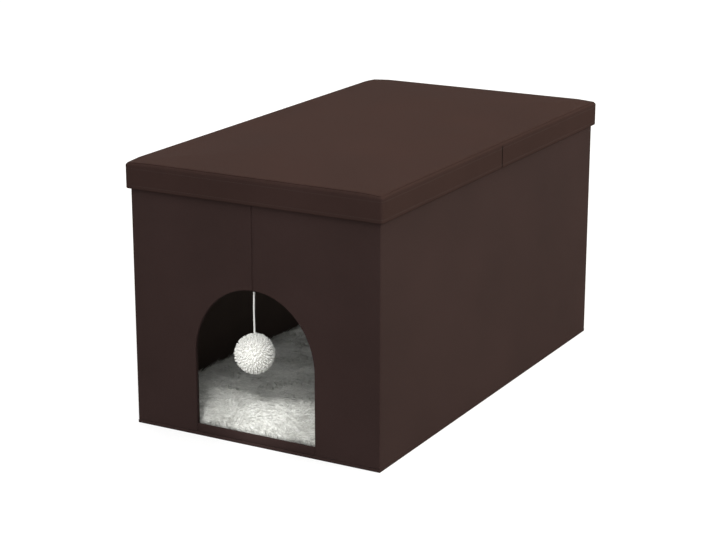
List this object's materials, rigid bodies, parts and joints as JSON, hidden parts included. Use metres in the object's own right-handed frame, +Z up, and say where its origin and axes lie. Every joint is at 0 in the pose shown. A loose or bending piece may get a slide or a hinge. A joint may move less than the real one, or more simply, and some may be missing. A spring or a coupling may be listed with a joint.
{
  "type": "folding cat cave",
  "caption": "Folding box-shaped cat cave with a padded lift-off lid, an arched doorway, a plush cushion and a pompom toy on a cord.",
  "frame": {"origin": "centre of the base's flat underside, on the floor, midway between the four walls", "axes": "+Z up, -Y out of the doorway, +X to the right of someone who faces the doorway's outside; +Y is the long way of the box"},
  "size_m": [0.4076, 0.7391, 0.3907],
  "materials": {
    "leathercloth": "fine-grained soft sheen",
    "hardboard": "raw pressed fibre",
    "lining_cloth": "matt non-woven cloth",
    "foam": "open-cell foam",
    "plush": "short fleece pile",
    "yarn": "soft cut yarn"
  },
  "bodies": {
    "base_and_left_side": {"base_cover": "leathercloth", "base_board": "hardboard", "base_lining": "lining_cloth", "left_side_cover": "leathercloth", "left_side_board": "hardboard", "left_side_lining": "lining_cloth", "front_left_tape": "lining_cloth", "rear_left_tape": "lining_cloth"},
    "front_left_half": {"front_left_cover": "leathercloth", "front_left_board": "hardboard", "front_left_lining": "lining_cloth", "sill_left": "leathercloth", "front_crease_strip": "leathercloth", "toy_tab": "leathercloth"},
    "front_right_half": {"front_right_cover": "leathercloth", "front_right_board": "hardboard", "front_right_lining": "lining_cloth", "sill_right": "leathercloth"},
    "right_side": {"right_side_cover": "leathercloth", "right_side_board": "hardboard", "right_side_lining": "lining_cloth", "front_right_tape": "lining_cloth", "rear_right_tape": "lining_cloth"},
    "rear_left_half": {"rear_left_cover": "leathercloth", "rear_left_board": "hardboard", "rear_left_lining": "lining_cloth", "rear_crease_strip": "leathercloth"},
    "rear_right_half": {"rear_right_cover": "leathercloth", "rear_right_board": "hardboard", "rear_right_lining": "lining_cloth"},
    "lid": {"lid_cover": "leathercloth", "lid_foam": "foam", "lid_board": "hardboard", "lid_lining": "lining_cloth", "lid_skirt_board_front": "hardboard", "lid_skirt_board_rear": "hardboard", "lid_skirt_board_left": "hardboard", "lid_skirt_board_right": "hardboard"},
    "cushion": {"cushion_plush": "plush", "cushion_foam": "foam", "cushion_underside": "lining_cloth"},
    "toy_knot": {"toy_knot": "yarn"},
    "toy": {"toy_cord": "yarn", "pompom": "yarn"}
  },
  "joints": [
    {"name": "fold", "type": "hinge", "parent": "base_and_left_side", "child": "front_left_half", "pos_m": [-0.1915, -0.3463, 0], "axis": [0, 0, 1], "range_deg": [0, 90], "deforming": ["front_left_tape", "rear_left_tape", "front_right_tape", "rear_right_tape", "cushion_plush", "cushion_foam", "cushion_underside", "pompom", "toy_cord"]},
    {"name": "front_crease", "type": "hinge", "parent": "front_left_half", "child": "front_right_half", "pos_m": [0, -0.3545, 0], "axis": [0, 0, 1], "range_deg": [-180, 0]},
    {"name": "front_right_corner", "type": "hinge", "parent": "front_right_half", "child": "right_side", "pos_m": [0.1915, -0.3463, 0], "axis": [0, 0, 1], "range_deg": [0, 90]},
    {"name": "rear_left_corner", "type": "hinge", "parent": "base_and_left_side", "child": "rear_left_half", "pos_m": [-0.1915, 0.3463, 0], "axis": [0, 0, 1], "range_deg": [-90, 0]},
    {"name": "rear_crease", "type": "hinge", "parent": "rear_left_half", "child": "rear_right_half", "pos_m": [0, 0.3545, 0], "axis": [0, 0, 1], "range_deg": [0, 180]},
    {"name": "lid_lift", "type": "slide", "parent": "base_and_left_side", "child": "lid", "axis": [0, 0, 1], "range_m": [0, 0.15]},
    {"name": "cushion_lift", "type": "slide", "parent": "base_and_left_side", "child": "cushion", "axis": [0, 0, 1], "range_m": [0, 0.22], "deforming": ["pompom", "toy_cord"]},
    {"name": "toy_swing", "type": "hinge", "parent": "front_left_half", "child": "toy_knot", "pos_m": [0, -0.35075, 0.2235], "axis": [1, 0, 0], "range_deg": [-60, 60]},
    {"name": "toy_sway", "type": "hinge", "parent": "toy_knot", "child": "toy", "pos_m": [0, -0.35075, 0.2235], "axis": [0, 1, 0], "range_deg": [-35, 35]}
  ],
  "couplings": [
    {"joint": "front_crease", "follows": "fold", "ratio": -2},
    {"joint": "front_right_corner", "follows": "fold", "ratio": 1},
    {"joint": "rear_left_corner", "follows": "fold", "ratio": -1},
    {"joint": "rear_crease", "follows": "fold", "ratio": 2}
  ]
}
